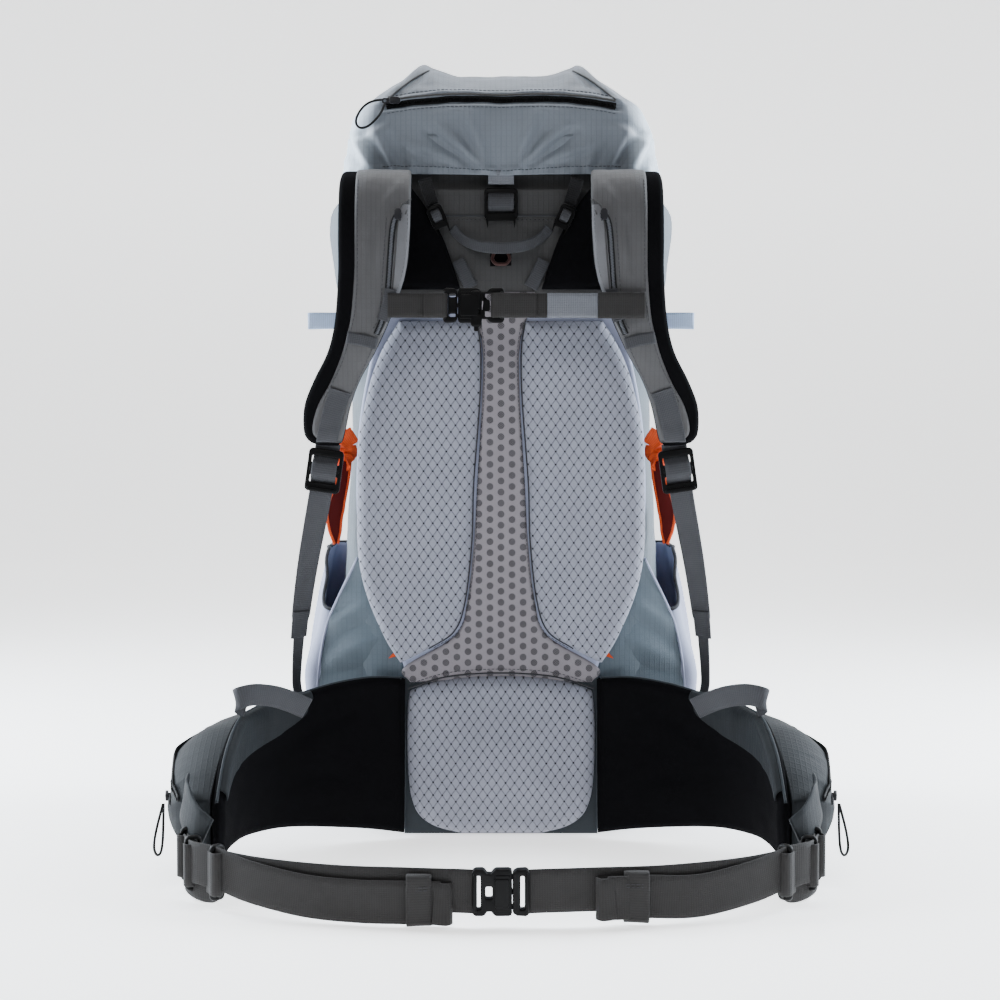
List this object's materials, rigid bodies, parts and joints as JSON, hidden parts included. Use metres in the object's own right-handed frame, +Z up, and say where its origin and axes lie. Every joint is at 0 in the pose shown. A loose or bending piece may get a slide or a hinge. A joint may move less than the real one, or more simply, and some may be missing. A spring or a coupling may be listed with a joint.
{
  "type": "trekking backpack",
  "caption": "Tall trekking backpack with hinged lid, mesh back pads, curved shoulder straps, sternum strap, side pockets and a buckled padded hip belt with zip pockets.",
  "frame": {"origin": "centre of the flat base, on the floor", "axes": "+Z up; the harness and the wearer's back face -Y; +X is the right-hand side seen from in front of the harness"},
  "size_m": [0.623, 0.6241, 0.77],
  "materials": {
    "lid_ripstop": "grey ripstop weave",
    "body_ripstop": "slate-blue ripstop weave",
    "strap_ripstop": "grey ripstop weave",
    "collar_fabric": "dark grey plain weave",
    "panel_fabric": "dark plain weave",
    "pad_mesh": "lilac-grey diamond air mesh",
    "channel_mesh": "grey perforated spacer mesh",
    "black_mesh": "black spacer mesh",
    "pocket_fabric": "lilac-grey stretch weave",
    "hip_fabric": "dark grey ripstop",
    "webbing": "grey ribbed webbing",
    "belt_webbing": "dark grey ribbed webbing",
    "side_webbing": "pale blue webbing",
    "accent_fabric": "orange webbing",
    "cord": "braided cord",
    "plastic": "moulded black acetal",
    "zip_metal": "dark coated metal",
    "zip_tape": "zip tape and coil",
    "stay_metal": "satin",
    "sheet_plastic": "smooth sheet"
  },
  "bodies": {
    "pack": {"pack_bag": "body_ripstop", "collar": "collar_fabric", "collar_drawcord": "cord", "cord_lock": "plastic", "frame_sheet": "sheet_plastic", "frame_stays": "stay_metal", "back_panel": "panel_fabric", "back_pad_left": "pad_mesh", "back_pad_right": "pad_mesh", "center_mesh": "channel_mesh", "lumbar_pad": "pad_mesh", "side_pockets": "pocket_fabric", "compression_tabs": "side_webbing", "accent_straps": "accent_fabric", "shoulder_yokes": "black_mesh", "adjuster_webbing_left": "webbing", "adjuster_webbing_right": "webbing", "load_lifter_webbing": "webbing", "lid_tab_webbing": "webbing", "lid_anchor_straps": "webbing", "lid_buckle_females": "plastic"},
    "lid": {"lid_shell": "lid_ripstop", "lid_lining": "collar_fabric", "lid_zip": "zip_tape", "lid_straps": "webbing", "lid_buckle_males": "plastic"},
    "lid_slider": {"lid_zip_slider": "zip_metal", "lid_pull_cord": "cord"},
    "haul_handle": {"haul_loop": "webbing"},
    "lid_tab_adjuster": {"lid_tab_lock": "plastic"},
    "lifter_adjuster_left": {"lifter_lock_left": "plastic"},
    "lifter_adjuster_right": {"lifter_lock_right": "plastic"},
    "strap_left": {"shoulder_pad_left": "black_mesh", "shoulder_face_left": "strap_ripstop"},
    "strap_right": {"shoulder_pad_right": "black_mesh", "shoulder_face_right": "strap_ripstop"},
    "strap_slider_left": {"strap_zip_slider_left": "zip_metal"},
    "strap_slider_right": {"strap_zip_slider_right": "zip_metal"},
    "strap_adjuster_left": {"shoulder_lock_left": "plastic"},
    "strap_adjuster_right": {"shoulder_lock_right": "plastic"},
    "sternum": {"sternum_webbing_left": "webbing", "sternum_buckle_male": "plastic"},
    "sternum_female": {"sternum_buckle_female": "plastic", "sternum_webbing_right": "webbing"},
    "hip_belt": {"hip_wing_left": "black_mesh", "hip_wing_right": "black_mesh", "hip_pocket_left": "hip_fabric", "hip_pocket_right": "hip_fabric", "belt_webbing_left": "belt_webbing", "belt_webbing_right": "belt_webbing", "belt_slides": "plastic", "belt_keepers": "belt_webbing", "belt_buckle_female": "plastic"},
    "belt_male": {"belt_buckle_male": "plastic"},
    "belt_prong_up": {"belt_prong_upper": "plastic"},
    "belt_prong_low": {"belt_prong_lower": "plastic"},
    "hip_slider_left": {"hip_zip_slider_left": "zip_metal", "hip_pull_cord_left": "cord"},
    "hip_slider_right": {"hip_zip_slider_right": "zip_metal", "hip_pull_cord_right": "cord"}
  },
  "joints": [
    {"name": "lid_hinge", "type": "hinge", "parent": "pack", "child": "lid", "pos_m": [0, -0.131, 0.672], "axis": [1, 0, 0], "range_deg": [0, 75]},
    {"name": "lid_zip_slide", "type": "slide", "parent": "lid", "child": "lid_slider", "axis": [1, 0, 0], "range_m": [0, 0.2]},
    {"name": "haul_loop_swing", "type": "hinge", "parent": "pack", "child": "haul_handle", "pos_m": [0, -0.1275, 0.609], "axis": [-1, 0, 0], "range_deg": [0, 45]},
    {"name": "lid_tab_lock_tilt", "type": "hinge", "parent": "pack", "child": "lid_tab_adjuster", "pos_m": [0, -0.129, 0.643], "axis": [-1, 0, 0], "range_deg": [0, 25]},
    {"name": "lifter_lock_tilt_left", "type": "hinge", "parent": "pack", "child": "lifter_adjuster_left", "pos_m": [-0.06666, -0.1375, 0.62622], "axis": [-0.9135, 0, -0.4067], "range_deg": [0, 25]},
    {"name": "lifter_lock_tilt_right", "type": "hinge", "parent": "pack", "child": "lifter_adjuster_right", "pos_m": [0.06666, -0.1375, 0.62622], "axis": [-0.9135, 0, 0.4067], "range_deg": [0, 25]},
    {"name": "strap_left_swing", "type": "hinge", "parent": "pack", "child": "strap_left", "pos_m": [-0.12, -0.15, 0.659], "axis": [-1, 0, 0], "range_deg": [0, 15], "deforming": ["adjuster_webbing_left"]},
    {"name": "strap_right_swing", "type": "hinge", "parent": "pack", "child": "strap_right", "pos_m": [0.12, -0.15, 0.659], "axis": [-1, 0, 0], "range_deg": [0, 15], "deforming": ["adjuster_webbing_right"]},
    {"name": "strap_zip_slide_left", "type": "slide", "parent": "strap_left", "child": "strap_slider_left", "axis": [0, -0.0499, -0.9988], "range_m": [0, 0.035]},
    {"name": "strap_zip_slide_right", "type": "slide", "parent": "strap_right", "child": "strap_slider_right", "axis": [0, -0.0499, -0.9988], "range_m": [0, 0.035]},
    {"name": "shoulder_lock_tilt_left", "type": "hinge", "parent": "strap_left", "child": "strap_adjuster_left", "pos_m": [-0.16913, -0.172, 0.38583], "axis": [-0.9903, 0, 0.1392], "range_deg": [0, 20]},
    {"name": "shoulder_lock_tilt_right", "type": "hinge", "parent": "strap_right", "child": "strap_adjuster_right", "pos_m": [0.16913, -0.172, 0.38583], "axis": [-0.9903, 0, -0.1392], "range_deg": [0, 20]},
    {"name": "sternum_height", "type": "slide", "parent": "strap_left", "child": "sternum", "axis": [0, 0, 1], "range_m": [-0.02, 0.013]},
    {"name": "sternum_unclip", "type": "slide", "parent": "sternum", "child": "sternum_female", "axis": [1, 0, 0], "range_m": [0, 0.024]},
    {"name": "belt_tilt", "type": "hinge", "parent": "pack", "child": "hip_belt", "pos_m": [0, -0.1225, 0.171], "axis": [-1, 0, 0], "range_deg": [0, 30]},
    {"name": "belt_unclip", "type": "slide", "parent": "hip_belt", "child": "belt_male", "axis": [1, 0, 0], "range_m": [0, 0.03], "deforming": ["belt_webbing_right"]},
    {"name": "belt_prong_upper_press", "type": "hinge", "parent": "belt_male", "child": "belt_prong_up", "pos_m": [0.009, -0.4575, 0.0422], "axis": [0, -1, 0], "range_deg": [0, 6], "stiffness_Nm_per_rad": 0.02},
    {"name": "belt_prong_lower_press", "type": "hinge", "parent": "belt_male", "child": "belt_prong_low", "pos_m": [0.009, -0.4575, 0.0172], "axis": [0, 1, 0], "range_deg": [0, 6], "stiffness_Nm_per_rad": 0.02},
    {"name": "hip_zip_slide_left", "type": "slide", "parent": "hip_belt", "child": "hip_slider_left", "axis": [-0.12, 0.8996, 0.4198], "range_m": [0, 0.06]},
    {"name": "hip_zip_slide_right", "type": "slide", "parent": "hip_belt", "child": "hip_slider_right", "axis": [0.12, 0.8996, 0.4198], "range_m": [0, 0.06]}
  ],
  "couplings": [
    {"joint": "strap_right_swing", "follows": "strap_left_swing", "ratio": 1}
  ]
}
